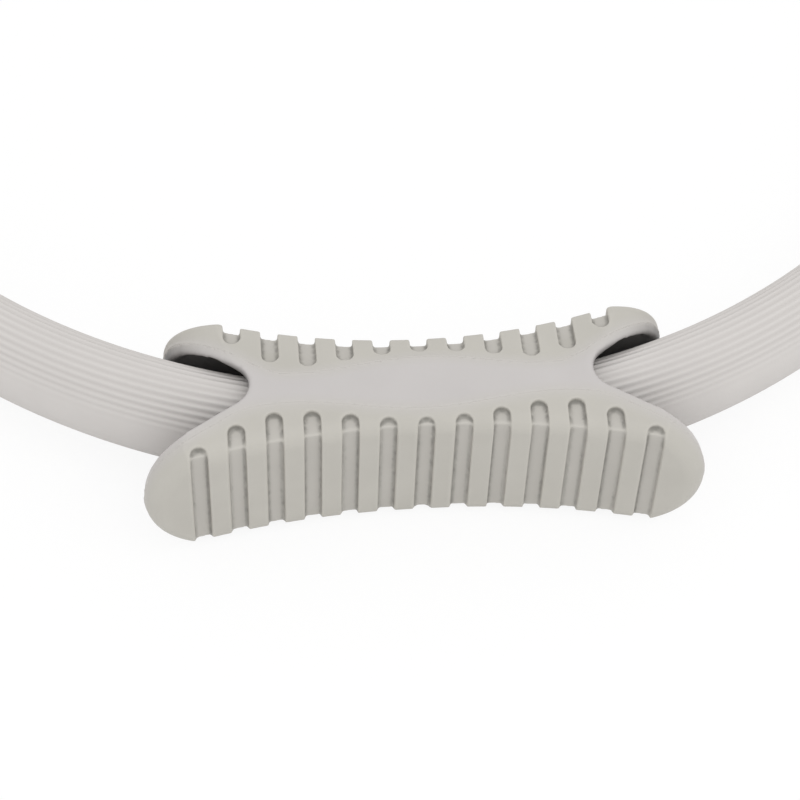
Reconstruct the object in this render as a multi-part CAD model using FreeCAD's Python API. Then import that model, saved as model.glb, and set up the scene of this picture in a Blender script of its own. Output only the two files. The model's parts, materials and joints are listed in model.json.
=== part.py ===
import FreeCAD, Part
import math
import os

# Pilates ring: ribbed sleeves over sprung bands, joined by two grips with soft pads on both faces.
# The ring lies flat, with +Z along its axis and its middle above the origin. The undersides of
# the grips rest on Z = 0. One grip is at the front, at -Y, and an equal one at the rear.
# All lengths are in millimetres.

# Sleeves
ring_radius = 180.0
sleeve_depth = 20.3
sleeve_height = 31.0
rib_pitch = 1.95
rib_depth = 0.3
plain_stripe = 10.0
end_gap = 1.6
side_gap = 0.3

# Sprung bands inside the sleeves, two plies to a side
band_thickness = 1.8
band_height = 20.0
band_offset = -1.5
ply_gap = 0.2
bore_clearance = 0.3

# Flex of the ring when it is squeezed
flex_angle = 14.0
flex_clearance = 0.8

# Palm faces, waist and crests of a grip
grip_roof = 3.9
outer_face_rise = 0.8
outer_face_hollow = 250.0
inner_face_rise = 6.85
outer_crest_drop = 1.05
inner_crest_drop = 2.2
waist_width = 10.9
waist_offset = -1.85
waist_wave = 1.75
wave_length = 66.0

# Wings of a grip, and the fork between them that the sleeve passes through
outer_wing_reach = 69.4
inner_wing_reach = 63.8
outer_wing_round = 23.45
inner_wing_round = 26.0
outer_wing_rise = 23.45
inner_wing_rise = 20.6
outer_wing_thickness = 8.15
inner_wing_thickness = 7.05
outer_palm_fillet = 4.2
inner_palm_fillet = 1.5
crotch_reach = 42.6
crotch_offset = -4.6
crotch_radius = 6.7
outer_fork_share = 0.48
inner_fork_share = 0.73
wing_hollow = 1.5
wing_lip = 1.6

# Soft pads with cross slots
pad_floor = 1.6
rim_width = 2.3
seam_step = 0.5
seam_blend = 0.8
slot_pitch = 9.24
slot_width = 4.22
slot_depth = 1.6
outer_slot_end = 12.0
inner_slot_end = 14.0
outer_slot_margin = 2.1
inner_slot_margin = 2.2

# Clamp and rivets that hold the bands' ends in a grip
shell_wall = 1.9
inner_cheek = 4.0
cheek_margin = 2.8
cheek_lip = 2.0
fit_clearance = 0.12
pocket_wall = 5.4
band_end_gap = 2.45
rivet_edge = 3.8
rivet_spacing = 5.4
rivet_diameter = 3.4
rivet_head_diameter = 5.0
rivet_head_height = 1.2

# Screws that close a grip from below
screw_spacing = 14.0
screw_diameter = 2.9
screw_length = 24.0
screw_head_diameter = 5.6
screw_head_height = 2.0
screw_head_depth = 0.8
screw_clearance = 0.05
boss_wall = 2.1
driver_slot_width = 0.9
driver_slot_depth = 1.0

# Places that follow from the sizes above, as distances from the ring's axis where they are radial
half_depth = sleeve_depth / 2
half_height = sleeve_height / 2
grip_half = half_height + flex_clearance + grip_roof
outer_face = ring_radius + half_depth + outer_face_rise
inner_face = ring_radius - half_depth - inner_face_rise
waist_inner = ring_radius + waist_offset - waist_width / 2
waist_outer = ring_radius + waist_offset + waist_width / 2
fork_middle = ring_radius + crotch_offset
band_middle = ring_radius + band_offset
pack_inner = band_middle - ply_gap / 2 - band_thickness
pack_outer = band_middle + ply_gap / 2 + band_thickness
pad_skin = slot_depth + pad_floor
cheek_inner_face = pack_inner - fit_clearance - inner_cheek
cheek_outer_face = outer_face - pad_skin - shell_wall - fit_clearance
boss_radius = screw_diameter / 2 + boss_wall
band_end = screw_spacing / 2 + boss_radius + band_end_gap
rivet_places = (band_end + rivet_edge, band_end + rivet_edge + rivet_spacing)
cheek_reach = rivet_places[1] + cheek_margin
cheek_half = band_height / 2 + cheek_lip
pocket_end = cheek_reach + fit_clearance + pocket_wall
entry_turn = math.asin((pocket_end + end_gap) / (ring_radius - half_depth))
slot_places = (
    int((inner_wing_reach - inner_slot_end) / slot_pitch),
    int((outer_wing_reach - outer_slot_end) / slot_pitch),
)
beyond = outer_wing_reach / 4
station_step = wave_length / 8
match = 1e-4

origin = FreeCAD.Vector(0, 0, 0)
axis = FreeCAD.Vector(0, 0, 1)
across = FreeCAD.Vector(1, 0, 0)
outward = FreeCAD.Vector(0, -1, 0)


def spot(x, radius, z=0.0):
    """A point of the front grip: x along it, its distance from the ring's axis, and its height."""
    return FreeCAD.Vector(x, -radius, z)


def block(x_range, radius_range, half):
    """A box of the front grip, as high above the middle plane as below it."""
    length = x_range[1] - x_range[0]
    depth = radius_range[1] - radius_range[0]
    return Part.makeBox(length, depth, 2 * half, spot(x_range[0], radius_range[1], -half))


def disc(radius, half, middle=origin):
    """A cylinder about an upright axis, as high above the middle plane as below it."""
    return Part.makeCylinder(radius, 2 * half, middle - axis * half)


def washer(inner, outer, half):
    """A tube wall about the ring's axis."""
    return disc(outer, half).cut(disc(inner, half))


def prism(edges, half):
    """The closed outline of edges, raised as far above the middle plane as below it."""
    face = Part.Face(Part.Wire(edges))
    face.translate(-axis * half)
    return face.extrude(axis * 2 * half)


def both_sides(shape):
    """The shape and its mirror image on the other side of the grip."""
    return [shape, shape.mirror(origin, across)]


def palm_outer(x):
    """Distance of the outer palm face, which is hollow along the grip."""
    return outer_face + outer_face_hollow - math.sqrt(outer_face_hollow ** 2 - x * x)


def palm_inner(x):
    """Distance of the inner palm face, which is round about the ring's axis."""
    return math.sqrt(inner_face ** 2 - x * x)


def waist_edges(x):
    """Inner and outer edges of the smooth waist between the pads."""
    wave = waist_wave * math.cos(2 * math.pi * x / wave_length)
    return waist_inner - wave, waist_outer + wave


def fork_turns():
    """How far the fork's inner and outer sides turn from the grip's length.

    Each is tangent to the crotch and meets its wing's wall at a share of the way to the wing's tip.
    """
    near = crotch_reach + crotch_radius
    inner_out = inner_fork_share * (inner_wing_reach - near)
    outer_out = outer_fork_share * (outer_wing_reach - near)
    inner_wall = math.sqrt((inner_face + inner_wing_thickness) ** 2 - (near + inner_out) ** 2)
    outer_depth = math.sqrt((outer_face_hollow + outer_wing_thickness) ** 2 - (near + outer_out) ** 2)
    outer_wall = outer_face + outer_face_hollow - outer_depth
    turns = []
    for out, rise in ((inner_out, fork_middle - inner_wall), (outer_out, outer_wall - fork_middle)):
        turns.append(math.acos(crotch_radius / math.hypot(out, rise)) - math.atan2(out, rise))
    return turns


def fork_lines(x):
    """Inner and outer straight sides of the fork, tangent to its round crotch."""
    out = abs(x) - crotch_reach - crotch_radius
    inner_turn, outer_turn = fork_turns()
    inner = fork_middle - crotch_radius / math.cos(inner_turn) - out * math.tan(inner_turn)
    outer = fork_middle + crotch_radius / math.cos(outer_turn) + out * math.tan(outer_turn)
    return inner, outer


def soft_max(a, b):
    """The larger of two values, with a smooth change from one to the other."""
    return (a + b) / 2 + math.hypot((a - b) / 2, seam_blend)


def pad_seams(x):
    """Inner and outer seams, where the pads stop and the shell shows: the waist and the fork's rim."""
    waist = waist_edges(x)
    fork = fork_lines(x)
    fork_inner = max(fork[0], palm_inner(x) + inner_wing_thickness)
    fork_outer = min(fork[1], palm_outer(x) - outer_wing_thickness)
    inner_turn, outer_turn = fork_turns()
    inner_rim = fork_inner - rim_width / math.cos(inner_turn)
    outer_rim = fork_outer + rim_width / math.cos(outer_turn)
    inner = -soft_max(-(waist[0] - seam_step), -inner_rim)
    outer = soft_max(waist[1] + seam_step, outer_rim)
    return inner, outer


def stations(reach, step):
    """Evenly spaced places along the grip, the same on both sides of its middle."""
    count = math.ceil(reach / step)
    return [reach * i / count for i in range(-count, count + 1)]


def palm_band(outer_inset, inner_inset):
    """The space between the two palm faces, moved inwards by these insets."""
    outer_axis = spot(0, outer_face + outer_face_hollow)
    outside = disc(outer_face_hollow + outer_inset, 2 * grip_half, outer_axis)
    reach = outer_wing_reach + beyond
    whole = block((-reach, reach), (inner_face / 2, outer_face + 2 * beyond), 2 * grip_half)
    return whole.cut(outside).cut(disc(inner_face + inner_inset, 2 * grip_half))


def roof_section(x, inset):
    """Cross-section under the grip's sloping sides, with the slopes run on past the waist's level."""
    waist = waist_edges(x)
    level = grip_half - inset
    outline = []
    drops = (inner_crest_drop, outer_crest_drop)
    for edge, palm, drop in zip(waist, (palm_inner(x), palm_outer(x)), drops):
        slope = drop / (edge - palm)
        low = palm + (palm - edge)
        high = edge + math.copysign(waist_width / 4, edge - palm)
        outline.append((low, level + slope * (low - edge)))
        outline.append((high, level + slope * (high - edge)))
    profile = [outline[0], outline[1], outline[3], outline[2]]
    mirrored = [(radius, -z) for radius, z in reversed(profile)]
    points = [spot(x, radius, z) for radius, z in profile + mirrored]
    return Part.makePolygon(points + points[:1])


def roof(inset=0.0):
    """The space under the grip's sloping sides and flat waist."""
    reach = outer_wing_reach + beyond
    slopes = Part.makeLoft([roof_section(x, inset) for x in stations(reach, station_step)], True)
    slab = block((-reach, reach), (inner_face / 2, outer_face + 2 * beyond), grip_half - inset)
    return slopes.common(slab)


def half_ellipse(middle, tip, head):
    """The half of an upright ellipse from its foot past its tip to its head."""
    if (tip - middle).Length >= (head - middle).Length:
        return Part.Ellipse(tip, head, middle).toShape(-math.pi / 2, math.pi / 2)
    return Part.Ellipse(head, tip, middle).toShape(0, math.pi)


def elevation(reach, rounding, rise, radius_range, inset):
    """A bar along the grip with upright round ends, between two distances from the ring's axis."""
    start = reach - rounding
    half = rise - inset
    edges = []
    for side in (1, -1):
        middle = spot(side * start, radius_range[0])
        tip = spot(side * (reach - inset), radius_range[0])
        head = middle + axis * half * side
        edges.append(half_ellipse(middle, tip, head))
        edges.append(Part.LineSegment(head, head - across * 2 * start * side).toShape())
    bar = Part.Face(Part.Wire(edges))
    return bar.extrude(outward * (radius_range[1] - radius_range[0]))


def wings(inset=0.0):
    """The space inside the round ends of both pairs of wings."""
    inner_range = (inner_face / 2, fork_middle)
    outer_range = (fork_middle, outer_face + 2 * beyond)
    inner = elevation(inner_wing_reach, inner_wing_round, inner_wing_rise, inner_range, inset)
    outer = elevation(outer_wing_reach, outer_wing_round, outer_wing_rise, outer_range, inset)
    return inner.fuse(outer)


def fork():
    """The opening at one end of the grip, between its wings."""
    reach = outer_wing_reach + beyond
    near = crotch_reach + crotch_radius
    inner_turn, outer_turn = fork_turns()
    round_middle = spot(near, fork_middle)
    touch_inner = spot(near - crotch_radius * math.sin(inner_turn),
                       fork_middle - crotch_radius * math.cos(inner_turn))
    touch_outer = spot(near - crotch_radius * math.sin(outer_turn),
                       fork_middle + crotch_radius * math.cos(outer_turn))
    far_inner = spot(reach, fork_lines(reach)[0])
    far_outer = spot(reach, fork_lines(reach)[1])
    bottom = round_middle - across * crotch_radius
    edges = [
        Part.LineSegment(far_inner, touch_inner).toShape(),
        Part.Arc(touch_inner, bottom, touch_outer).toShape(),
        Part.LineSegment(touch_outer, far_outer).toShape(),
        Part.LineSegment(far_outer, far_inner).toShape(),
    ]
    wedge = prism(edges, 2 * grip_half)
    return wedge.common(palm_band(outer_wing_thickness, inner_wing_thickness))


def palm_edges(form, radius):
    """The edges round a palm face, which is the wall of this radius."""
    edges = []
    for face in form.Faces:
        if face.Surface.TypeId == "Part::GeomCylinder" and abs(face.Surface.Radius - radius) < match:
            edges += face.Edges
    return edges


def grip_form():
    """The whole outside of a grip, as one body."""
    form = palm_band(0, 0).common(roof()).common(wings())
    for opening in both_sides(fork()):
        form = form.cut(opening)
    form = form.makeFillet(outer_palm_fillet, palm_edges(form, outer_face_hollow))
    return form.makeFillet(inner_palm_fillet, palm_edges(form, inner_face))


def pad_core():
    """What lies under the pads' skin, before the waist and the rims rise through it."""
    core = palm_band(pad_skin, pad_skin).common(roof(pad_skin))
    return core.common(wings(pad_skin))


def seam_prism():
    """The waist and the fork's rims, between the two seams."""
    reach = outer_wing_reach + beyond
    places = stations(reach, station_step / 2)
    runs = []
    for which in (0, 1):
        curve = Part.BSplineCurve()
        curve.interpolate([spot(x, pad_seams(x)[which]) for x in places])
        runs.append(curve.toShape())
    ends = [Part.LineSegment(spot(x, pad_seams(x)[0]), spot(x, pad_seams(x)[1])).toShape()
            for x in (-reach, reach)]
    return prism([runs[0], ends[1], runs[1], ends[0]], 2 * grip_half)


def slot_prism(x, which):
    """One slot's outline raised through the grip: a round end near the seam, open at the palm face."""
    half = slot_width / 2
    sides = [pad_seams(x - half)[which], pad_seams(x)[which], pad_seams(x + half)[which]]
    if which == 0:
        end = min(sides) - inner_slot_margin - half
        run = block((x - half, x + half), (inner_face / 2, end), 2 * grip_half)
    else:
        end = max(sides) + outer_slot_margin + half
        run = block((x - half, x + half), (end, outer_face + 2 * beyond), 2 * grip_half)
    return run.fuse(disc(half, 2 * grip_half, spot(x, end)))


def slot_cuts(which):
    """All the slots of one pad, cut to the slot depth."""
    places = [slot_pitch * i for i in range(-slot_places[which], slot_places[which] + 1)]
    floor = palm_band(slot_depth, slot_depth).common(roof(slot_depth))
    return Part.makeCompound([slot_prism(x, which) for x in places]).cut(floor)


def inner_wing_wall(half):
    """What stands behind a sleeve's end, hollowed most where it enters and not at the wing's tip."""
    wall = ring_radius - half_depth - flex_clearance
    near = math.sqrt(wall ** 2 - pocket_end ** 2) - wing_hollow
    far = math.sqrt(wall ** 2 - inner_wing_reach ** 2)
    back = (inner_wing_reach ** 2 - pocket_end ** 2 + far ** 2 - near ** 2) / (2 * (near - far))
    flatter = disc(math.hypot(pocket_end, near + back), half, spot(0, -back))
    return flatter.common(disc(wall, half))


def inner_wing_lip(half):
    """The inner wing's edge, which follows its round end and comes down to the sleeve's clear space."""
    inner_range = (inner_face / 2, fork_middle)
    under = elevation(inner_wing_reach, inner_wing_round, inner_wing_rise, inner_range, wing_lip)
    middle = spot(0, ring_radius)
    tall = middle + axis * half
    wide = middle + outward * (half_depth + flex_clearance)
    section = Part.Face(Part.Wire(Part.Ellipse(tall, wide, middle).toShape()))
    clear = section.revolve(origin, axis, 360)
    return disc(fork_middle, half).cut(under).cut(clear)


def sleeve_pocket():
    """Room for one sleeve's end in a grip, from its rest place to the most that it flexes."""
    half = half_height + flex_clearance
    reach = outer_wing_reach + beyond
    outer_radius = ring_radius + half_depth + flex_clearance
    outside = disc(outer_radius, half)
    flexed = outside.copy()
    flexed.rotate(flex_pivot(), axis, -flex_angle)
    window = block((pocket_end, reach), (inner_face / 2, outer_face + 2 * beyond), half)
    space = outside.fuse(flexed).cut(inner_wing_wall(half)).cut(inner_wing_lip(half))
    return space.common(window)


def flex_pivot():
    """Where a sleeve's end turns in the front grip, on the right."""
    return spot(ring_radius * math.sin(entry_turn), ring_radius * math.cos(entry_turn))


def screw_spots():
    """Where the screws stand along a grip."""
    return [side * screw_spacing / 2 for side in (-1, 1)]


def screw_bosses(clearance=0.0):
    """The upright columns round the screws, grown by a clearance."""
    return [disc(boss_radius + clearance, grip_half, spot(x, band_middle)) for x in screw_spots()]


def clamp_cavity():
    """Room for the clamp and the bands inside a grip, with the screw columns left standing."""
    reach = cheek_reach + fit_clearance
    half = cheek_half + fit_clearance
    radii = (cheek_inner_face - fit_clearance, cheek_outer_face + fit_clearance)
    room = block((-reach, reach), radii, half)
    for column in screw_bosses():
        room = room.cut(column)
    channel = washer(pack_inner - bore_clearance, pack_outer + bore_clearance,
                     band_height / 2 + bore_clearance)
    window = block((reach / 2, pocket_end + pocket_wall), (inner_face / 2, outer_face), grip_half)
    return [room] + both_sides(channel.common(window))


def screw_seat():
    """Height of the step that a screw's head bears on."""
    return -grip_half + screw_head_depth + screw_head_height


def screw_hole(x):
    """Hole for one screw, with the recess for its head below."""
    foot = spot(x, band_middle, -grip_half - screw_head_depth)
    recess_height = 2 * screw_head_depth + screw_head_height
    recess = Part.makeCylinder(screw_head_diameter / 2 + fit_clearance, recess_height, foot)
    bore = Part.makeCylinder(screw_diameter / 2 + screw_clearance, screw_length + fit_clearance,
                             spot(x, band_middle, screw_seat()))
    return recess.fuse(bore)


def screw(x):
    """A pan-head screw, head down, with a cross recess for the driver."""
    seat = screw_seat()
    foot = spot(x, band_middle, seat - screw_head_height)
    head = Part.makeCylinder(screw_head_diameter / 2, screw_head_height, foot)
    shank = Part.makeCylinder(screw_diameter / 2, screw_length, spot(x, band_middle, seat))
    solid = head.fuse(shank)
    arm = screw_head_diameter / 3
    for reach, width in ((arm, driver_slot_width / 2), (driver_slot_width / 2, arm)):
        bit = Part.makeBox(2 * reach, 2 * width, driver_slot_depth, foot - across * reach + outward * width)
        solid = solid.cut(bit)
    return solid.removeSplitter()


def rivet_spots():
    """Where the rivets stand along a grip."""
    return [side * x for side in (-1, 1) for x in rivet_places]


def rivet(x, clearance=0.0):
    """A rivet through both cheeks and the bands, with its heads flush in the cheeks."""
    shank = Part.makeCylinder(rivet_diameter / 2 + clearance, cheek_outer_face - cheek_inner_face,
                              spot(x, cheek_inner_face), outward)
    head_height = rivet_head_height + clearance
    for start in (cheek_inner_face, cheek_outer_face - head_height):
        head = Part.makeCylinder(rivet_head_diameter / 2 + clearance, head_height, spot(x, start), outward)
        shank = shank.fuse(head)
    return shank.removeSplitter()


def clamp_cheeks():
    """The two cheeks of the clamp, hollowed for the bands, the rivets and the screw columns."""
    span = (-cheek_reach, cheek_reach)
    inner = block(span, (cheek_inner_face, band_middle), cheek_half)
    inner = inner.common(disc(pack_inner - fit_clearance, cheek_half))
    outer = block(span, (band_middle - beyond, cheek_outer_face), cheek_half)
    outer = outer.cut(disc(pack_outer + fit_clearance, cheek_half))
    for hole in screw_bosses(fit_clearance) + [rivet(x, fit_clearance) for x in rivet_spots()]:
        inner = inner.cut(hole)
        outer = outer.cut(hole)
    return inner, outer


def shell_halves(form, shell_form):
    """The upper and lower shells of a grip, hollowed for what they hold."""
    solid = form.common(shell_form)
    hollows = both_sides(sleeve_pocket()) + clamp_cavity()
    hollows += [screw_hole(x) for x in screw_spots()]
    for hollow in hollows:
        solid = solid.cut(hollow)
    reach = outer_wing_reach + beyond
    upper_half = block((-reach, reach), (inner_face / 2, outer_face + 2 * beyond), grip_half)
    upper_half.translate(axis * grip_half)
    return solid.common(upper_half), solid.cut(upper_half)


def grip_pieces():
    """Every piece of the front grip, by name."""
    form = grip_form()
    shell_form = pad_core().fuse(seam_prism())
    pads = sorted(form.cut(shell_form).Solids, key=lambda solid: solid.CenterOfMass.y)
    upper, lower = shell_halves(form, shell_form)
    cheek_inner, cheek_outer = clamp_cheeks()
    return {
        "shell_upper": upper,
        "shell_lower": lower,
        "outer_pad": pads[0].cut(slot_cuts(1)),
        "inner_pad": pads[-1].cut(slot_cuts(0)),
        "clamp_inner_cheek": cheek_inner,
        "clamp_outer_cheek": cheek_outer,
        "clamp_rivets": Part.makeCompound([rivet(x) for x in rivet_spots()]),
        "shell_screws": Part.makeCompound([screw(x) for x in screw_spots()]),
    }


def ellipse_spot(turn, inset=0.0):
    """A point of the sleeve's oval section, in the plane of +X and +Z."""
    radius = ring_radius + (half_depth - inset) * math.cos(turn)
    return FreeCAD.Vector(radius, 0, (half_height - inset) * math.sin(turn))


def rib_turns():
    """Places round the upper half of the oval that part it into ribs of about the same width."""
    start = math.asin(plain_stripe / sleeve_height)
    fine = 400
    turns = [start + (math.pi - 2 * start) * i / fine for i in range(fine + 1)]
    lengths = [0.0]
    for a, b in zip(turns, turns[1:]):
        lengths.append(lengths[-1] + (ellipse_spot(b) - ellipse_spot(a)).Length)
    count = round(lengths[-1] / rib_pitch)
    picked = []
    for i in range(count + 1):
        nearest = min(range(fine + 1), key=lambda k: abs(lengths[k] - lengths[-1] * i / count))
        picked.append(turns[nearest])
    return picked


def sleeve_section():
    """The sleeve's section: ribs above and below, a plain stripe inside and outside, and the bore."""
    upper = rib_turns()
    turns = upper + [turn + math.pi for turn in upper]
    edges = []
    for a, b in zip(turns, turns[1:] + [turns[0] + 2 * math.pi]):
        run = (ellipse_spot(a, rib_depth), ellipse_spot((a + b) / 2), ellipse_spot(b, rib_depth))
        edges.append(Part.Arc(*run).toShape())
    outside = Part.Face(Part.Wire(edges))
    half = band_height / 2 + bore_clearance
    inner = pack_inner - bore_clearance
    outer = pack_outer + bore_clearance
    places = ((inner, -half), (outer, -half), (outer, half), (inner, half))
    corners = [FreeCAD.Vector(radius, 0, z) for radius, z in places]
    bore = Part.Face(Part.makePolygon(corners + corners[:1]))
    return outside.cut(bore)


def front_right_sleeve():
    """The sleeve from the front grip to the middle of the right side."""
    entry = math.degrees(entry_turn)
    gap = math.degrees(side_gap / 2 / ring_radius)
    section = sleeve_section().Faces[0]
    section.rotate(origin, axis, entry - 90)
    return section.revolve(origin, axis, 90 - entry - gap)


def right_band(inner, outer):
    """One ply of the right side's band, from grip to grip, with its rivet holes."""
    half = band_height / 2
    ring = washer(inner, outer, half)
    side = Part.makeBox(2 * ring_radius, 4 * ring_radius, band_height,
                        FreeCAD.Vector(band_end, -2 * ring_radius, -half))
    band = ring.common(side)
    for x in rivet_places:
        hole = Part.makeCylinder(rivet_diameter / 2 + fit_clearance, 4 * ring_radius,
                                 FreeCAD.Vector(x, 2 * ring_radius, 0), outward)
        band = band.cut(hole)
    return band


def half_turn(shape):
    """The shape turned to the other side of the ring's axis."""
    turned = shape.copy()
    turned.rotate(origin, axis, 180)
    return turned


def ring_pieces():
    """Every piece of the ring, by node name, about its middle plane."""
    pieces = {}
    for name, shape in grip_pieces().items():
        pieces["front_" + name] = shape
        pieces["rear_" + name] = half_turn(shape)
    right = front_right_sleeve()
    left = right.mirror(origin, across)
    pieces["front_right_sleeve"] = right
    pieces["front_left_sleeve"] = left
    pieces["rear_left_sleeve"] = half_turn(right)
    pieces["rear_right_sleeve"] = half_turn(left)
    plies = {
        "inner_band": (pack_inner, pack_inner + band_thickness),
        "outer_band": (pack_outer - band_thickness, pack_outer),
    }
    for name, radii in plies.items():
        band = right_band(*radii)
        pieces["right_" + name] = band
        pieces["left_" + name] = half_turn(band)
    return pieces


os.makedirs("parts", exist_ok=True)
for name, shape in ring_pieces().items():
    shape.translate(axis * grip_half)
    shape.exportStep("parts/" + name + ".step")
    solids = len(shape.Solids)
    print(name, "valid", shape.isValid(), "solids", solids, "volume", round(shape.Volume, 1))
print("front right flex pivot", flex_pivot() + axis * grip_half)
print("right side pivot", FreeCAD.Vector(ring_radius - half_depth, 0, grip_half))
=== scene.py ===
import json
import math

import bmesh
import bpy
from mathutils import Matrix, Vector
from mathutils.bvhtree import BVHTree
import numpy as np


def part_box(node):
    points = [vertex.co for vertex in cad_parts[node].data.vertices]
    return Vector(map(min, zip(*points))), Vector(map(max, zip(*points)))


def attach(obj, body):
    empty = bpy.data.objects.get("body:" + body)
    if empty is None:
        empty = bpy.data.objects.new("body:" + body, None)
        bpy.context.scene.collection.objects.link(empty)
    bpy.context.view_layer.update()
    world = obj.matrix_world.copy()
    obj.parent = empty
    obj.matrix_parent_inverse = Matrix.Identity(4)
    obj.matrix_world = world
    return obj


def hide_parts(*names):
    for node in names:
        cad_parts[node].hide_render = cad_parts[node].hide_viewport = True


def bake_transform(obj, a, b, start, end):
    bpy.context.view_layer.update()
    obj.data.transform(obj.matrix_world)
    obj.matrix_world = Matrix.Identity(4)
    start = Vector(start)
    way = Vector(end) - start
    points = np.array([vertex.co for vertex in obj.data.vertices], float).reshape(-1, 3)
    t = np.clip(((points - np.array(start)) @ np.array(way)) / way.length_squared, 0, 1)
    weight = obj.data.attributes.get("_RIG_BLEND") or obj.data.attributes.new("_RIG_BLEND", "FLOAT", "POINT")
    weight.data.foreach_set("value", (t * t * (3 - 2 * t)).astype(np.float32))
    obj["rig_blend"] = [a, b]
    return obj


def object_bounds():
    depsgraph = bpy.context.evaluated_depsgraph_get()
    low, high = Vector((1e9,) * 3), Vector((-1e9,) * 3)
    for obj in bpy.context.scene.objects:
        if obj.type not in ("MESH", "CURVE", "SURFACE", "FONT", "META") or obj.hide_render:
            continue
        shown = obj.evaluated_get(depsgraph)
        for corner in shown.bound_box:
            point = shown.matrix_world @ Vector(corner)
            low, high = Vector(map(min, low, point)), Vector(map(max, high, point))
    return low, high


bl_info = {
    "name": "Pilates ring",
    "version": (1, 0, 0),
    "blender": (4, 5, 0),
    "location": "View3D > Sidebar > Ring",
    "description": "Sleeves, sprung bands, grips and a plain studio for a packed pilates ring",
    "category": "Object",
}

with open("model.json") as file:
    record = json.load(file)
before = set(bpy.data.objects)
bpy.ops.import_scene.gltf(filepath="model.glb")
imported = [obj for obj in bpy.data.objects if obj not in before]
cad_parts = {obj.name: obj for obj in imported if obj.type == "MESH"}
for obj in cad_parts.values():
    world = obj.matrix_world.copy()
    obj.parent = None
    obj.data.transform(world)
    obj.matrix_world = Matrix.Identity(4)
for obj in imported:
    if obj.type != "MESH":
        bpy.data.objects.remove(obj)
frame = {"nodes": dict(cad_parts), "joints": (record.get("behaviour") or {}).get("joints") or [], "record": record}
cad_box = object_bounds()

# The ring lies flat about the world's Z axis, with one grip at -Y and one at +Y. Metres throughout.
sides = ("right", "left")
ends = ("front", "rear")
plies = ("inner_band", "outer_band")
joint_places = {joint["name"]: Vector(joint["pos_m"]) for joint in frame["joints"]}
sleeve_low, sleeve_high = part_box("front_right_sleeve")
ring_middle = Vector((0, 0, (sleeve_low.z + sleeve_high.z) / 2))
entry_place = joint_places["flex_front_right"] - ring_middle
side_place = joint_places["flex_right_side"] - ring_middle
mm = 0.001


class SleeveSettings(bpy.types.PropertyGroup):
    """Sizes and colours of the ribbed foam sleeves"""

    outer_radius: bpy.props.FloatProperty(
        name="Outer radius", description="From the ring's axis to the outside of a sleeve",
        default=sleeve_high.x, unit="LENGTH")
    depth: bpy.props.FloatProperty(
        name="Depth",
        description="Thickness of the oval section, from the inside of the ring to its outside",
        default=sleeve_high.x - side_place.x, unit="LENGTH")
    height: bpy.props.FloatProperty(
        name="Height", description="Height of the oval section, along the ring's axis",
        default=sleeve_high.z - sleeve_low.z, unit="LENGTH")
    entry_turn: bpy.props.FloatProperty(
        name="Entry turn", description="Turn from a grip's middle to the sleeve's end inside it",
        default=math.atan2(entry_place.x, -entry_place.y), subtype="ANGLE")
    rib_pitch: bpy.props.FloatProperty(
        name="Rib pitch", description="Distance from rib to rib round the section",
        default=1.95 * mm, unit="LENGTH")
    rib_depth: bpy.props.FloatProperty(
        name="Rib depth", description="Depth of the grooves between the ribs",
        default=0.3 * mm, unit="LENGTH")
    plain_stripe: bpy.props.FloatProperty(
        name="Plain stripe", description="Height of the smooth stripe on the inside and on the outside",
        default=10 * mm, unit="LENGTH")
    fading_ribs: bpy.props.FloatProperty(
        name="Fading ribs",
        description="Ribs beside a plain stripe over which the grooves reach their full depth",
        default=3, min=0.5)
    rib_points: bpy.props.IntProperty(
        name="Points to a rib", description="Mesh points across one rib", default=8, min=4)
    steps: bpy.props.IntProperty(
        name="Steps", description="Mesh steps along a sleeve", default=150, min=20)
    bend_reach: bpy.props.FloatProperty(
        name="Bend reach", description="How far to each side of the ring's middle a sleeve bends",
        default=0.148, unit="LENGTH")
    colour: bpy.props.FloatVectorProperty(
        name="Foam", description="Colour of the ribs", default=(0.695, 0.667, 0.645), subtype="COLOR")
    # Painted shade: a darker foam colour laid into the grooves between the ribs.
    groove_shade_colour: bpy.props.FloatVectorProperty(
        name="Grooves", description="Colour between the ribs", default=(0.615, 0.587, 0.567),
        subtype="COLOR")


class BandSettings(bpy.types.PropertyGroup):
    """Sizes and colour of the sprung bands inside the sleeves"""

    edge_round: bpy.props.FloatProperty(
        name="Edge rounding", description="Rounding along the edges of a band",
        default=0.3 * mm, unit="LENGTH")
    flex_gap: bpy.props.FloatProperty(
        name="Flex gap", description="Room between a band's length and its clamped end, where it bends",
        default=0.6 * mm, unit="LENGTH")
    steps: bpy.props.IntProperty(
        name="Steps", description="Mesh steps along a band", default=120, min=20)
    colour: bpy.props.FloatVectorProperty(
        name="Fibreglass", description="Colour of the bands", default=(0.44, 0.43, 0.34), subtype="COLOR")


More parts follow.
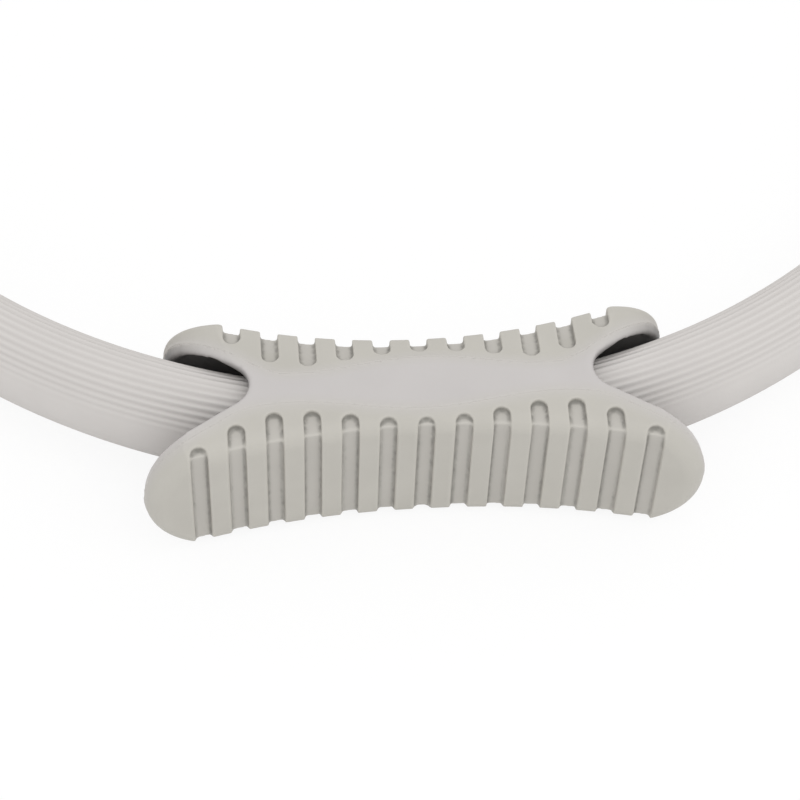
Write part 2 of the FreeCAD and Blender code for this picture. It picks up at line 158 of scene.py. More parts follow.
class GripSettings(bpy.types.PropertyGroup):
    """Skin, edges and colours of the grips' shells and pads"""

    pad_skin: bpy.props.FloatProperty(
        name="Pad skin", description="Mesh size of a pad's moulded skin", default=0.34 * mm, unit="LENGTH")
    pad_passes: bpy.props.IntProperty(
        name="Pad rounding", description="Smoothing passes that round a pad's edges", default=2, min=0)
    shell_skin: bpy.props.FloatProperty(
        name="Shell skin", description="Mesh size of a shell's moulded skin", default=0.46 * mm,
        unit="LENGTH")
    shell_passes: bpy.props.IntProperty(
        name="Shell rounding", description="Smoothing passes that round a shell's edges", default=20, min=0)
    seam_width: bpy.props.FloatProperty(
        name="Seam width",
        description="Strip along a seam that stays unrounded, so that the seam stays fine",
        default=0.6 * mm, unit="LENGTH")
    seam_swell: bpy.props.FloatProperty(
        name="Seam swell", description="How far a seam's edges are pressed against each other",
        default=0.26 * mm, unit="LENGTH")
    seam_blend: bpy.props.FloatProperty(
        name="Seam blend",
        description="How far from a seam the colours of its two sides run into each other",
        default=2.8 * mm, unit="LENGTH")
    thinning: bpy.props.FloatProperty(
        name="Thinning", description="Share of a skin's triangles that is kept",
        default=0.5, min=0.05, max=1, subtype="FACTOR")
    pad_colour: bpy.props.FloatVectorProperty(
        name="Pads", description="Colour of the soft pads", default=(0.543, 0.523, 0.477), subtype="COLOR")
    shell_colour: bpy.props.FloatVectorProperty(
        name="Shells", description="Colour of the smooth shells", default=(0.578, 0.553, 0.542),
        subtype="COLOR")
    clamp_colour: bpy.props.FloatVectorProperty(
        name="Clamps", description="Colour of the nylon clamps", default=(0.06, 0.06, 0.065),
        subtype="COLOR")
    steel_colour: bpy.props.FloatVectorProperty(
        name="Steel", description="Colour of the rivets and screws", default=(0.56, 0.55, 0.53),
        subtype="COLOR")


class StageSettings(bpy.types.PropertyGroup):
    """Camera, light and background"""

    distance: bpy.props.FloatProperty(
        name="Distance", description="From the camera to the front grip", default=0.643, unit="LENGTH")
    tilt: bpy.props.FloatProperty(
        name="Tilt", description="Angle of the view off the ring's axis",
        default=math.radians(34.93), subtype="ANGLE")
    swing: bpy.props.FloatProperty(
        name="Swing", description="Turn of the view about the ring's axis",
        default=math.radians(-7.40), subtype="ANGLE")
    roll: bpy.props.FloatProperty(
        name="Roll", description="Turn of the picture about the line of view",
        default=math.radians(3.30), subtype="ANGLE")
    picture_width: bpy.props.FloatProperty(
        name="Picture width", description="Width of the picture in pixels", default=800)
    focal_pixels: bpy.props.FloatProperty(
        name="Focal length", description="Focal length in pixels", default=2563)
    aim_pixel: bpy.props.FloatVectorProperty(
        name="Aim", description="Pixel that shows the front grip's middle", default=(420.96, 434.96), size=2)
    world_light: bpy.props.FloatProperty(
        name="Room light", description="Strength of the even light from all round", default=0.88)
    lamp_power: bpy.props.FloatProperty(
        name="Lamp power", description="Power of the large lamp overhead", default=3.0, unit="POWER")
    lamp_size: bpy.props.FloatProperty(
        name="Lamp size", description="Width of the large lamp overhead", default=1.2, unit="LENGTH")
    lamp_place: bpy.props.FloatVectorProperty(
        name="Lamp place", description="Where the large lamp hangs", default=(0.35, -0.6, 1.2),
        subtype="TRANSLATION", unit="LENGTH")
    floor_size: bpy.props.FloatProperty(
        name="Floor size", description="Width of the floor", default=8.0, unit="LENGTH")
    floor_gap: bpy.props.FloatProperty(
        name="Floor gap", description="From the floor to the bottom of the part", default=0.1 * mm,
        unit="LENGTH")
    floor_colour: bpy.props.FloatVectorProperty(
        name="Floor", description="Colour of the floor", default=(0.88, 0.88, 0.88), subtype="COLOR")
    floor_glow: bpy.props.FloatProperty(
        name="Floor glow", description="Strength of the floor's white where no shadow falls", default=1.03)
    floor_shadow: bpy.props.FloatProperty(
        name="Floor shadow", description="Share of the floor's look that takes shadows",
        default=0.15, min=0, max=1, subtype="FACTOR")


# Shader node groups and materials


def add_node(tree, kind, **values):
    """A shader node with its plain settings, and its inputs by name in a dictionary called inputs."""
    node = tree.nodes.new(kind)
    inputs = values.pop("inputs", {})
    for name, value in values.items():
        setattr(node, name, value)
    for socket, value in inputs.items():
        if isinstance(value, bpy.types.NodeSocket):
            tree.links.new(value, node.inputs[socket])
        else:
            node.inputs[socket].default_value = value
    return node


def mixed_colour(tree, factor, first, second):
    """A colour between two others, each a socket or four numbers."""
    mix = tree.nodes.new("ShaderNodeMix")
    mix.data_type = "RGBA"
    colours = {socket.name: socket for socket in mix.inputs if socket.type == "RGBA"}
    tree.links.new(factor, mix.inputs["Factor"])
    for socket, colour in ((colours["A"], first), (colours["B"], second)):
        if isinstance(colour, bpy.types.NodeSocket):
            tree.links.new(colour, socket)
        else:
            socket.default_value = colour
    return next(socket for socket in mix.outputs if socket.type == "RGBA")


def start_group(name, inputs, outputs):
    """A new shader node group, with its input node and output node."""
    group = bpy.data.node_groups.new(name, "ShaderNodeTree")
    for socket, kind in inputs.items():
        group.interface.new_socket(socket, in_out="INPUT", socket_type=kind)
    for socket, kind in outputs.items():
        group.interface.new_socket(socket, in_out="OUTPUT", socket_type=kind)
    return group, group.nodes.new("NodeGroupInput").outputs, group.nodes.new("NodeGroupOutput").inputs


def moulded_grain_group():
    """Fine grain that a mould leaves: pebbles with a finer dust between them."""
    name = "Moulded grain"
    if name in bpy.data.node_groups:
        return bpy.data.node_groups[name]
    group, given, result = start_group(
        name,
        {"Place": "NodeSocketVector", "Pebbles": "NodeSocketFloat", "Dust": "NodeSocketFloat"},
        {"Height": "NodeSocketFloat"})
    pebble_share = 0.7
    pebbles = add_node(group, "ShaderNodeTexVoronoi", feature="SMOOTH_F1", inputs={
        "Vector": given["Place"], "Scale": given["Pebbles"], "Smoothness": 0.6})
    dust = add_node(group, "ShaderNodeTexNoise", inputs={
        "Vector": given["Place"], "Scale": given["Dust"], "Detail": 3.0, "Roughness": 0.6})
    height = add_node(group, "ShaderNodeMath", operation="MULTIPLY_ADD", inputs={
        0: pebbles.outputs["Distance"], 1: pebble_share, 2: dust.outputs["Fac"]})
    group.links.new(height.outputs["Value"], result["Height"])
    return group


def colour_drift_group():
    """A colour that drifts a little over the surface, with the roughness that goes with it."""
    name = "Colour drift"
    if name in bpy.data.node_groups:
        return bpy.data.node_groups[name]
    group, given, result = start_group(
        name,
        {"Place": "NodeSocketVector", "Patches": "NodeSocketFloat", "Colour": "NodeSocketColor",
         "Other Colour": "NodeSocketColor", "Smooth": "NodeSocketFloat", "Dull": "NodeSocketFloat"},
        {"Colour": "NodeSocketColor", "Roughness": "NodeSocketFloat"})
    patches = add_node(group, "ShaderNodeTexNoise", inputs={
        "Vector": given["Place"], "Scale": given["Patches"], "Detail": 4.0, "Roughness": 0.55})
    spread = add_node(group, "ShaderNodeMapRange", inputs={
        "Value": patches.outputs["Fac"], "From Min": 0.3, "From Max": 0.7})
    drift = mixed_colour(group, spread.outputs["Result"], given["Colour"], given["Other Colour"])
    rough = add_node(group, "ShaderNodeMapRange", inputs={
        "Value": spread.outputs["Result"], "To Min": given["Smooth"], "To Max": given["Dull"]})
    group.links.new(drift, result["Colour"])
    group.links.new(rough.outputs["Result"], result["Roughness"])
    return group


def shaded(colour, share=1.0):
    """The colour with its brightness multiplied by a share, as a shader's four numbers."""
    return tuple(share * part for part in colour) + (1.0,)


def moulded_material(name, colour, other, marks, pebbles, dust, depth, patches, rough, specular):
    """A moulded finish: drifting colour, grain, and other colours where mesh attributes mark the surface."""
    material = bpy.data.materials.new(name)
    material.use_nodes = True
    tree = material.node_tree
    shader = tree.nodes["Principled BSDF"]
    place = add_node(tree, "ShaderNodeTexCoord").outputs["Object"]
    drift = add_node(tree, "ShaderNodeGroup", node_tree=colour_drift_group())
    grain = add_node(tree, "ShaderNodeGroup", node_tree=moulded_grain_group())
    tree.links.new(place, drift.inputs["Place"])
    tree.links.new(place, grain.inputs["Place"])
    drift.inputs["Patches"].default_value = patches
    drift.inputs["Colour"].default_value = colour
    drift.inputs["Other Colour"].default_value = other
    drift.inputs["Smooth"].default_value, drift.inputs["Dull"].default_value = rough
    grain.inputs["Pebbles"].default_value = pebbles
    grain.inputs["Dust"].default_value = dust
    finish = drift.outputs["Colour"]
    for mark, marked in marks.items():
        spots = add_node(tree, "ShaderNodeAttribute", attribute_name=mark)
        finish = mixed_colour(tree, spots.outputs["Fac"], finish, marked)
    bump = add_node(tree, "ShaderNodeBump", inputs={
        "Height": grain.outputs["Height"], "Strength": 0.35, "Distance": depth})
    tree.links.new(finish, shader.inputs["Base Color"])
    tree.links.new(drift.outputs["Roughness"], shader.inputs["Roughness"])
    tree.links.new(bump.outputs["Normal"], shader.inputs["Normal"])
    shader.inputs["Specular IOR Level"].default_value = specular
    return material


def foam_material(settings):
    """Closed-cell foam rubber, with painted shade darkening the grooves."""
    return moulded_material(
        "Foam sleeve", shaded(settings.colour), shaded(settings.colour, share=0.95),
        {"groove": shaded(settings.groove_shade_colour)},
        pebbles=1900, dust=4200, depth=0.06 * mm, patches=45, rough=(0.62, 0.78), specular=0.3)


def pad_material(settings):
    """Soft moulded rubber, with a painted highlight on its edges and painted shade in its corners."""
    return moulded_material(
        "Soft pad rubber", shaded(settings.pad_colour), shaded(settings.pad_colour, share=0.95),
        {"edge": shaded(settings.pad_colour, share=1.05), "seam": shaded(settings.shell_colour),
         # Painted shade: the pad's colour at half brightness in its concave corners.
         "crease_shade": shaded(settings.pad_colour, share=0.5)},
        pebbles=2600, dust=5200, depth=0.05 * mm, patches=60, rough=(0.5, 0.64), specular=0.4)


def shell_material(settings):
    """Satin moulded plastic, with a painted highlight on its edges and painted shade deep down beside the sleeves.
    """
    return moulded_material(
        "Satin shell plastic", shaded(settings.shell_colour), shaded(settings.shell_colour, share=0.96),
        {"edge": shaded(settings.shell_colour, share=1.05), "seam": shaded(settings.pad_colour),
         "shade": shaded(settings.shell_colour, share=0.2)},
        pebbles=3200, dust=7000, depth=0.025 * mm, patches=50, rough=(0.4, 0.5), specular=0.45)


def band_material(settings):
    """Pressed fibreglass."""
    return moulded_material(
        "Band fibreglass", shaded(settings.colour), shaded(settings.colour, share=0.8),
        {}, pebbles=900, dust=2500, depth=0.05 * mm, patches=220, rough=(0.3, 0.45), specular=0.5)


def clamp_material(settings):
    """Glass-filled nylon."""
    return moulded_material(
        "Clamp nylon", shaded(settings.clamp_colour), shaded(settings.clamp_colour, share=1.5),
        {}, pebbles=2400, dust=6000, depth=0.05 * mm, patches=120, rough=(0.5, 0.65), specular=0.4)


def steel_material(settings, name, rough):
    """Plated steel with a fine grain."""
    material = moulded_material(
        name, shaded(settings.steel_colour), shaded(settings.steel_colour, share=0.85),
        {}, pebbles=3000, dust=8000, depth=0.02 * mm, patches=400, rough=rough, specular=0.5)
    material.node_tree.nodes["Principled BSDF"].inputs["Metallic"].default_value = 1.0
    return material


# Meshes


def add_piece(name, mesh, material):
    """An object for a finished mesh, at the origin."""
    mesh.name = name
    mesh.materials.clear()
    mesh.materials.append(material)
    mesh.shade_smooth()
    piece = bpy.data.objects.new(name, mesh)
    bpy.context.scene.collection.objects.link(piece)
    return piece


def finished_mesh(bm, name):
    """The bmesh as a mesh with its faces outwards."""
    bmesh.ops.recalc_face_normals(bm, faces=bm.faces[:])
    mesh = bpy.data.meshes.new(name)
    bm.to_mesh(mesh)
    bm.free()
    return mesh


def half_turn(mesh):
    """A copy of a mesh on the other side of the ring's axis."""
    turned = mesh.copy()
    turned.transform(Matrix.Rotation(math.pi, 4, "Z"))
    return turned


def opened(mesh):
    """A bmesh of a mesh."""
    bm = bmesh.new()
    bm.from_mesh(mesh)
    return bm


def merged_copy(node):
    """A bmesh of a CAD node, with its loose triangles joined."""
    bm = opened(frame["nodes"][node].data)
    same_place = 1e-6
    bmesh.ops.remove_doubles(bm, verts=bm.verts[:], dist=same_place)
    return bm


def only_edges(geometry):
    """The edges among the results of an operator."""
    return [part for part in geometry if isinstance(part, bmesh.types.BMEdge)]


def spin_about_ring(bm, geometry, start, angle, steps):
    """Turns a section at +X to its start about the ring's axis, and sweeps it through an angle."""
    bmesh.ops.rotate(bm, verts=bm.verts[:], cent=ring_middle, matrix=Matrix.Rotation(start, 3, "Z"))
    return bmesh.ops.spin(
        bm, geom=geometry, cent=ring_middle, axis=(0, 0, 1), dvec=(0, 0, 0), angle=angle,
        space=Matrix.Identity(4), steps=steps, use_merge=False, use_normal_flip=False, use_duplicate=False)


def oval_place(settings, turn, inset=0.0):
    """A point of the sleeve's oval section, which stands at +X."""
    half_depth = settings.depth / 2
    radius = settings.outer_radius - half_depth + (half_depth - inset) * math.cos(turn)
    return ring_middle + Vector((radius, 0, (settings.height / 2 - inset) * math.sin(turn)))


def rib_outline(settings):
    """The oval as pairs of a turn and how deep in a groove it is: ribs above and below, stripes between."""
    stripe = math.asin(settings.plain_stripe / settings.height)
    fine_steps, close_enough, half_rib = 2000, 1e-9, 0.5
    turns = [stripe + (math.pi - 2 * stripe) * step / fine_steps for step in range(fine_steps + 1)]
    lengths = [0.0]
    for turn, following in zip(turns, turns[1:]):
        lengths.append(lengths[-1] + (oval_place(settings, following) - oval_place(settings, turn)).length)
    points = round(lengths[-1] / settings.rib_pitch) * settings.rib_points
    half = []
    step = 0
    for point in range(points + 1):
        while lengths[step] < lengths[-1] * point / points - close_enough:
            step += 1
        groove = (1 + math.cos(2 * math.pi * point / settings.rib_points)) / 2
        ribs_in = half_rib + min(point, points - point) / settings.rib_points
        half.append((turns[step], groove * min(1.0, ribs_in / settings.fading_ribs)))
    stripe_points = settings.rib_points + 2
    for point in range(1, stripe_points):
        half.append((math.pi - stripe + 2 * stripe * point / stripe_points, 0.0))
    return half + [(turn + math.pi, groove) for turn, groove in half]


def sleeve_mesh(settings, bore):
    """The right sleeve from grip to grip: a ribbed oval swept round the ring, with the bands' bore."""
    bm = bmesh.new()
    grooves = bm.verts.layers.float.new("groove")
    outline = rib_outline(settings)
    outside = bmesh.ops.create_circle(bm, cap_ends=False, segments=len(outline), radius=1)["verts"]
    for vert, (turn, groove) in zip(outside, outline):
        vert.co = oval_place(settings, turn, settings.rib_depth * groove)
        # The groove depth is also the mask of the painted shade in the grooves.
        vert[grooves] = groove
    low, high = bore
    corners = ((low.x, low.z), (high.x, low.z), (high.x, high.z), (low.x, high.z))
    inside = bmesh.ops.create_circle(bm, cap_ends=False, segments=len(corners), radius=1)["verts"]
    for vert, (radius, height) in zip(inside, corners):
        vert.co = (radius, 0, height)
    first = bm.edges[:]
    sweep = math.pi - 2 * settings.entry_turn
    start = settings.entry_turn - math.pi / 2
    last = spin_about_ring(bm, bm.verts[:] + first, start, sweep, settings.steps)["geom_last"]
    for rim in (first, only_edges(last)):
        bmesh.ops.triangle_fill(bm, use_beauty=True, edges=rim)
    return finished_mesh(bm, "sleeve")


def band_thickness(node):
    """Thickness of a band, from its outer radius and the radius of its inner face."""
    radii = [Vector(vert.co.xy).length for vert in frame["nodes"][node].data.vertices]
    return max(radii) - min(radii)


def band_length_mesh(node, entry_turn, settings):
    """The length of a right band between its clamped ends: a rounded strip swept round the ring."""
    low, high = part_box(node)
    thickness = band_thickness(node)
    half_unit = 0.5
    bm = bmesh.new()
    bmesh.ops.create_grid(bm, x_segments=1, y_segments=1, size=half_unit)
    bmesh.ops.scale(bm, verts=bm.verts[:], vec=(thickness, high.z - low.z, 1))
    bmesh.ops.bevel(bm, geom=bm.verts[:], offset=settings.edge_round, offset_type="OFFSET", segments=3,
                    profile=0.5, affect="VERTICES", material=-1)
    bmesh.ops.rotate(bm, verts=bm.verts[:], matrix=Matrix.Rotation(math.pi / 2, 3, "X"))
    bmesh.ops.translate(bm, verts=bm.verts[:], vec=ring_middle + Vector((high.x - thickness / 2, 0, 0)))
    start = entry_turn + settings.flex_gap / high.x
    spin_about_ring(bm, bm.faces[:], start - math.pi / 2, math.pi - 2 * start, settings.steps)
    return finished_mesh(bm, node)


def band_end_mesh(node, end, entry_turn):
    """A right band's end in the clamp of one grip, with its rivet holes, cut off where it bends."""
    bm = merged_copy(node)
    along = Vector((math.cos(entry_turn), math.sin(entry_turn), 0))
    if end == "rear":
        along.y = -along.y
    cut = bmesh.ops.bisect_plane(bm, geom=bm.verts[:] + bm.edges[:] + bm.faces[:], plane_co=(0, 0, 0),
                                 plane_no=along, clear_outer=True)["geom_cut"]
    bmesh.ops.holes_fill(bm, edges=only_edges(cut), sides=0)
    return finished_mesh(bm, node)


def modified_mesh(mesh, kind, **values):
    """A mesh with one modifier applied."""
    carrier = bpy.data.objects.new("carrier", mesh)
    bpy.context.scene.collection.objects.link(carrier)
    modifier = carrier.modifiers.new(kind, kind)
    for name, value in values.items():
        setattr(modifier, name, value)
    graph = bpy.context.evaluated_depsgraph_get()
    result = bpy.data.meshes.new_from_object(carrier.evaluated_get(graph))
    bpy.data.objects.remove(carrier)
    bpy.data.meshes.remove(mesh)
    return result


def search_tree(names):
    """A search tree over some CAD nodes."""
    bm = bmesh.new()
    for name in names:
        bm.from_mesh(frame["nodes"][name].data)
    tree = BVHTree.FromBMesh(bm)
    bm.free()
    return tree


def mean(values):
    """The mean of some numbers."""
    values = list(values)
    return sum(values) / len(values)


def spread_mark(bm, mark, choice):
    """Carries a mark over to the neighbouring vertices, by the largest or by the mean of the marks there."""
    marks = {vert: choice(edge.other_vert(vert)[mark] for edge in vert.link_edges) for vert in bm.verts}
    for vert, value in marks.items():
        vert[mark] = choice((vert[mark], value))


def mark_seams(bm, others, reach):
    """Marks the vertices near other moulded pieces, halfway at the seam itself."""
    seams = bm.verts.layers.float.new("seam")
    halfway = 0.5
    for vert in bm.verts:
        gap = others.find_nearest(vert.co)[3]
        vert[seams] = halfway * max(0.0, 1 - gap / reach)


def surface_turn(vert):
    """The mean angle at a vertex's edges: above zero on an edge, and below zero in a corner."""
    return mean(edge.calc_face_angle_signed(0) for edge in vert.link_edges)


def mark_edge_highlights(bm):
    """Marks the vertices on convex edges, for a painted highlight."""
    edges = bm.verts.layers.float.new("edge")
    sharp = 0.2
    for vert in bm.verts:
        vert[edges] = min(1.0, max(0.0, surface_turn(vert) / sharp))


def mark_corner_shade(bm):
    """Marks the vertices in corners for painted shade, but not along a seam, and not a corner that stands alone.
    """
    seams = bm.verts.layers.float["seam"]
    crease_shades = bm.verts.layers.float.new("crease_shade")
    slight, sharp = 0.08, 0.2
    at_seam, fewest = 0.3, 2
    for vert in bm.verts:
        if vert[seams] < at_seam:
            depth = -surface_turn(vert) - slight
            vert[crease_shades] = min(1.0, max(0.0, depth / (sharp - slight)))
    beside = {vert: sum(edge.other_vert(vert)[crease_shades] > 0 for edge in vert.link_edges) for vert in bm.verts}
    for vert, corners in beside.items():
        if corners < fewest:
            vert[crease_shades] = 0.0
    spread_mark(bm, crease_shades, max)
    spread_mark(bm, crease_shades, mean)


def mark_shade(bm, sleeves):
    """Marks the walls beside a sleeve, from nothing near their top to the full mark deep down or covered."""
    shade = bm.verts.layers.float.new("shade")
    own = BVHTree.FromBMesh(bm)
    probe, lift, reach = 1.0 * mm, 0.1 * mm, 20 * mm
    start, fade = 0.2 * mm, 2 * mm
    lean, soft_passes = 1.2, 4
    for vert in bm.verts:
        away = Vector((0, 0, math.copysign(1, vert.co.z - ring_middle.z)))
        covered = own.ray_cast(vert.co + vert.normal * lift, away)[0]
        beside = sleeves.ray_cast(vert.co, vert.normal - lean * away, reach)[0]
        top = own.ray_cast(vert.co - vert.normal * probe, away)[0] or vert.co
        depth = abs(top.z - vert.co.z)
        if covered:
            vert[shade] = 1.0
        elif beside:
            vert[shade] = min(1.0, max(0.0, (depth - start) / fade))
    for _ in range(soft_passes):
        spread_mark(bm, shade, mean)


def moulded_mesh(name, skin, passes, settings):
    """A solid of the front grip as a fine moulded skin, its edges rounded everywhere but along its seams."""
    node = "front_" + name
    mesh = modified_mesh(finished_mesh(merged_copy(node), node), "REMESH", mode="VOXEL", voxel_size=skin)
    others = [other for other in frame["record"]["behaviour"]["bodies"]["front_grip"] if other != node]
    beside = search_tree(others)
    bm = opened(mesh)
    gaps = {vert: beside.find_nearest(vert.co)[3] for vert in bm.verts}
    free = [vert for vert, gap in gaps.items() if gap > settings.seam_width]
    for _ in range(passes):
        bmesh.ops.smooth_vert(bm, verts=free, factor=0.5, use_axis_x=True, use_axis_y=True, use_axis_z=True)
    bm.normal_update()
    for vert, gap in gaps.items():
        vert.co += vert.normal * settings.seam_swell * max(0.0, 1 - gap / settings.seam_width)
    bmesh.ops.triangulate(bm, faces=bm.faces[:])
    bm.to_mesh(mesh)
    bm.free()
    mesh = modified_mesh(mesh, "DECIMATE", ratio=settings.thinning)
    bm = opened(mesh)
    bm.normal_update()
    is_shell = "shell" in name
    joined = "pad" if is_shell else "shell"
    mark_seams(bm, search_tree([other for other in others if joined in other]), settings.seam_blend)
    # Painted highlights on the edges of every piece; painted shade deep beside the sleeves on a shell, and in the
    # corners of a pad.
    mark_edge_highlights(bm)
    if is_shell:
        mark_shade(bm, search_tree(["front_" + side + "_sleeve" for side in sides]))
    else:
        mark_corner_shade(bm)
    bm.to_mesh(mesh)
    bm.free()
    return mesh


def add_moulded_pieces(names, skin, passes, material, settings):
    """The same moulded pieces on both grips: the front ones are made, the rear ones are turned copies."""
    made = []
    for name in names:
        mesh = moulded_mesh(name, skin, passes, settings)
        for end, skin_mesh in zip(ends, (mesh, half_turn(mesh))):
            piece = add_piece(end + "_" + name + "_skin", skin_mesh, material)
            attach(piece, end + "_grip")
            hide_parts(end + "_" + name)
            made.append(piece)
    return made


# Floor, light and camera


def white_for_the_eye(tree):
    """A value that is 1 for what the camera sees, straight or through gloss or glass, and 0 for light."""
    path = add_node(tree, "ShaderNodeLightPath")
    gloss = add_node(tree, "ShaderNodeMath", operation="MAXIMUM", inputs={
        0: path.outputs["Is Glossy Ray"], 1: path.outputs["Is Transmission Ray"]})
    seen = add_node(tree, "ShaderNodeMath", operation="MAXIMUM", inputs={
        0: path.outputs["Is Camera Ray"], 1: gloss.outputs["Value"]})
    return seen.outputs["Value"]


def add_floor(settings):
    """A plain pale floor that looks white where no shadow falls."""
    bm = bmesh.new()
    bmesh.ops.create_grid(bm, x_segments=1, y_segments=1, size=settings.floor_size / 2)
    bmesh.ops.translate(bm, verts=bm.verts[:], vec=(0, 0, cad_box[0][2] - settings.floor_gap))
    mesh = bpy.data.meshes.new("floor")
    bm.to_mesh(mesh)
    bm.free()
    material = bpy.data.materials.new("Floor paper")
    material.use_nodes = True
    tree = material.node_tree
    tree.nodes.remove(tree.nodes["Principled BSDF"])
    paper = add_node(tree, "ShaderNodeBsdfDiffuse", inputs={"Color": shaded(settings.floor_colour)})
    glow = add_node(tree, "ShaderNodeEmission", inputs={"Strength": settings.floor_glow})
    pale = add_node(tree, "ShaderNodeMixShader", inputs={"Fac": settings.floor_shadow})
    tree.links.new(glow.outputs["Emission"], pale.inputs[1])
    tree.links.new(paper.outputs["BSDF"], pale.inputs[2])
    look = add_node(tree, "ShaderNodeMixShader", inputs={"Fac": white_for_the_eye(tree)})
    tree.links.new(paper.outputs["BSDF"], look.inputs[1])
    tree.links.new(pale.outputs["Shader"], look.inputs[2])
    tree.links.new(look.outputs["Shader"], tree.nodes["Material Output"].inputs["Surface"])
    add_piece("floor", mesh, material)


def add_light(settings):
    """Even light from all round, and one large soft lamp overhead."""
    world = bpy.data.worlds.new("Studio")
    world.use_nodes = True
    tree = world.node_tree
    background = tree.nodes["Background"]
    background.inputs["Color"].default_value = (1, 1, 1, 1)
    strength = add_node(tree, "ShaderNodeMapRange", inputs={
        "Value": white_for_the_eye(tree), "To Min": settings.world_light, "To Max": 1.0})
    tree.links.new(strength.outputs["Result"], background.inputs["Strength"])
    bpy.context.scene.world = world
    lamp = bpy.data.lights.new("overhead_lamp", "AREA")
    lamp.energy = settings.lamp_power
    lamp.shape = "DISK"
    lamp.size = settings.lamp_size
    lamp_object = bpy.data.objects.new("overhead_lamp", lamp)
    lamp_object.location = settings.lamp_place
    lamp_object.rotation_mode = "QUATERNION"
    lamp_object.rotation_quaternion = (-Vector(settings.lamp_place)).to_track_quat("-Z", "Y")
    bpy.context.scene.collection.objects.link(lamp_object)


def add_camera(settings):
    """A camera at the photograph's viewing angle, with the front grip's middle on its own pixel."""
    sleeves = bpy.context.scene.ring_sleeves
    aim = ring_middle - Vector((0, sleeves.outer_radius - sleeves.depth / 2, 0))
    back = Vector((0, 0, 1))
    back.rotate(Matrix.Rotation(settings.tilt, 3, "X"))
    back.rotate(Matrix.Rotation(settings.swing, 3, "Z"))
    look = (-back).to_track_quat("-Z", "Y").to_matrix()
    offset = [(pixel - settings.picture_width / 2) / settings.focal_pixels for pixel in settings.aim_pixel]
    turn = Matrix.Rotation(math.atan(offset[0]), 3, "Y")
    nod = Matrix.Rotation(math.atan2(offset[1], math.hypot(1, offset[0])), 3, "X")
    rotation = look @ Matrix.Rotation(settings.roll, 3, "Z") @ turn @ nod
    data = bpy.data.cameras.new("photo_camera")
    data.lens = settings.focal_pixels / settings.picture_width * data.sensor_width
    data.clip_start = 0.01
    camera = bpy.data.objects.new("photo_camera", data)
    camera.matrix_world = Matrix.Translation(aim + back * settings.distance) @ rotation.to_4x4()
    bpy.context.scene.collection.objects.link(camera)
    bpy.context.scene.camera = camera


# Operators, one for each group of pieces and one for the stage


class RING_OT_sleeves(bpy.types.Operator):
    """Model a ribbed sleeve on each side of the ring"""

    bl_idname = "ring.sleeves"
    bl_label = "Sleeves"

    def execute(self, context):
        settings = context.scene.ring_sleeves
        clearance = 0.3 * mm
        inner_low, inner_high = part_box("right_inner_band")
        outer_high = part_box("right_outer_band")[1]
        low = Vector((inner_high.x - band_thickness("right_inner_band"), 0, inner_low.z))
        bore = (low - Vector((clearance, 0, clearance)), outer_high + Vector((clearance, 0, clearance)))
        mesh = sleeve_mesh(settings, bore)
        material = foam_material(settings)
        reach = Vector((0, settings.bend_reach, 0))
        for side, side_mesh in zip(sides, (mesh, half_turn(mesh))):
            sleeve = add_piece(side + "_sleeve_foam", side_mesh, material)
            pivot = joint_places["flex_" + side + "_side"]
            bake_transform(sleeve, "front_" + side + "_arm", "rear_" + side + "_arm", pivot - reach, pivot + reach)
            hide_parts("front_" + side + "_sleeve", "rear_" + side + "_sleeve")
        return {"FINISHED"}


class RING_OT_bands(bpy.types.Operator):
    """Model the sprung bands: two plies on each side, with their ends held in the grips"""

    bl_idname = "ring.bands"
    bl_label = "Bands"

    def execute(self, context):
        settings = context.scene.ring_bands
        sleeves = context.scene.ring_sleeves
        material = band_material(settings)
        reach = Vector((0, sleeves.bend_reach, 0))
        for ply in plies:
            length = band_length_mesh("right_" + ply, sleeves.entry_turn, settings)
            tips = {end: band_end_mesh("right_" + ply, end, sleeves.entry_turn) for end in ends}
            turned = {"front": half_turn(tips["rear"]), "rear": half_turn(tips["front"])}
            by_side = (("right", length, tips), ("left", half_turn(length), turned))
            for side, side_length, side_tips in by_side:
                node = side + "_" + ply
                band = add_piece(node + "_length", side_length, material)
                pivot = joint_places["flex_" + side + "_side"]
                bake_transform(band, "front_" + side + "_arm", "rear_" + side + "_arm",
                         pivot - reach, pivot + reach)
                pieces = [band]
                for end in ends:
                    tip = add_piece(node + "_" + end + "_end", side_tips[end], material)
                    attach(tip, end + "_grip")
                    pieces.append(tip)
                for piece in pieces:
                    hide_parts(node)
        return {"FINISHED"}


class RING_OT_pads(bpy.types.Operator):
    """Model the soft slotted pads on both faces of each grip"""

    bl_idname = "ring.pads"
    bl_label = "Pads"

    def execute(self, context):
        settings = context.scene.ring_grips
        made = add_moulded_pieces(
            ("outer_pad", "inner_pad"), settings.pad_skin, settings.pad_passes,
            pad_material(settings), settings)
        return {"FINISHED"}


class RING_OT_shells(bpy.types.Operator):
    """Model the smooth shells that show as the waist and the rims of the forks"""

    bl_idname = "ring.shells"
    bl_label = "Shells"

    def execute(self, context):
        settings = context.scene.ring_grips
        add_moulded_pieces(
            ("shell_upper", "shell_lower"), settings.shell_skin, settings.shell_passes,
            shell_material(settings), settings)
        return {"FINISHED"}


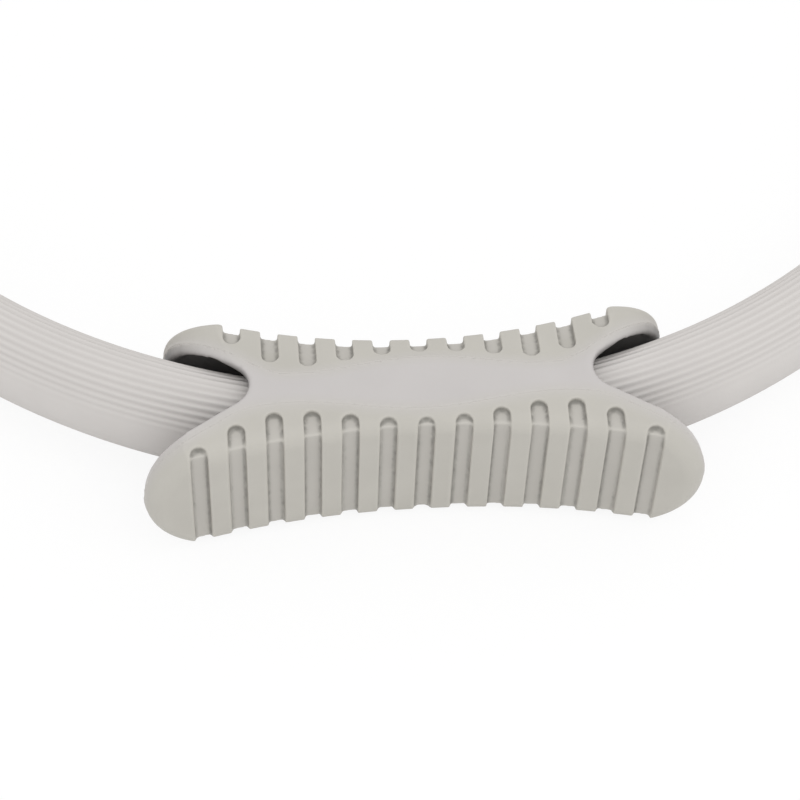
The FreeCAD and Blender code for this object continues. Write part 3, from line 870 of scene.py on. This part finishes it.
class RING_OT_hardware(bpy.types.Operator):
    """Finish the clamps, rivets and screws inside the grips"""

    bl_idname = "ring.hardware"
    bl_label = "Hardware"

    def execute(self, context):
        settings = context.scene.ring_grips
        nylon = clamp_material(settings)
        finishes = {
            "clamp_inner_cheek": nylon,
            "clamp_outer_cheek": nylon,
            "clamp_rivets": steel_material(settings, "Rivet steel", rough=(0.3, 0.45)),
            "shell_screws": steel_material(settings, "Plated screw steel", rough=(0.22, 0.36)),
        }
        for end in ends:
            for name, material in finishes.items():
                mesh = frame["nodes"][end + "_" + name].data
                mesh.materials.clear()
                mesh.materials.append(material)
        return {"FINISHED"}


class RING_OT_stage(bpy.types.Operator):
    """Set up the floor, the light and the camera"""

    bl_idname = "ring.stage"
    bl_label = "Stage"

    def execute(self, context):
        settings = context.scene.ring_stage
        add_floor(settings)
        add_light(settings)
        add_camera(settings)
        context.scene.view_settings.view_transform = "Standard"
        return {"FINISHED"}


class RING_PT_tools(bpy.types.Panel):
    """The ring's sizes, colours and building steps"""

    bl_idname = "RING_PT_tools"
    bl_label = "Pilates ring"
    bl_space_type = "VIEW_3D"
    bl_region_type = "UI"
    bl_category = "Ring"

    def draw(self, context):
        for name in settings_groups:
            group = getattr(context.scene, name)
            box = self.layout.box()
            box.label(text=group.bl_rna.description)
            for key in group.__annotations__:
                box.prop(group, key)
        for operator in operators:
            self.layout.operator(operator.bl_idname)


settings_groups = {
    "ring_sleeves": SleeveSettings,
    "ring_bands": BandSettings,
    "ring_grips": GripSettings,
    "ring_stage": StageSettings,
}
operators = (
    RING_OT_sleeves,
    RING_OT_bands,
    RING_OT_pads,
    RING_OT_shells,
    RING_OT_hardware,
    RING_OT_stage,
)


def register():
    """Makes the settings, operators and panel known to Blender."""
    for name, group in settings_groups.items():
        bpy.utils.register_class(group)
        setattr(bpy.types.Scene, name, bpy.props.PointerProperty(type=group))
    for operator in operators:
        bpy.utils.register_class(operator)
    bpy.utils.register_class(RING_PT_tools)


def unregister():
    """Takes them away again, in the opposite order."""
    bpy.utils.unregister_class(RING_PT_tools)
    for operator in reversed(operators):
        bpy.utils.unregister_class(operator)
    for name, group in reversed(settings_groups.items()):
        delattr(bpy.types.Scene, name)
        bpy.utils.unregister_class(group)


def main():
    """Builds everything in order."""
    register()
    bpy.ops.ring.sleeves()
    bpy.ops.ring.bands()
    bpy.ops.ring.pads()
    bpy.ops.ring.shells()
    bpy.ops.ring.hardware()
    bpy.ops.ring.stage()


if __name__ == "__main__":
    main()
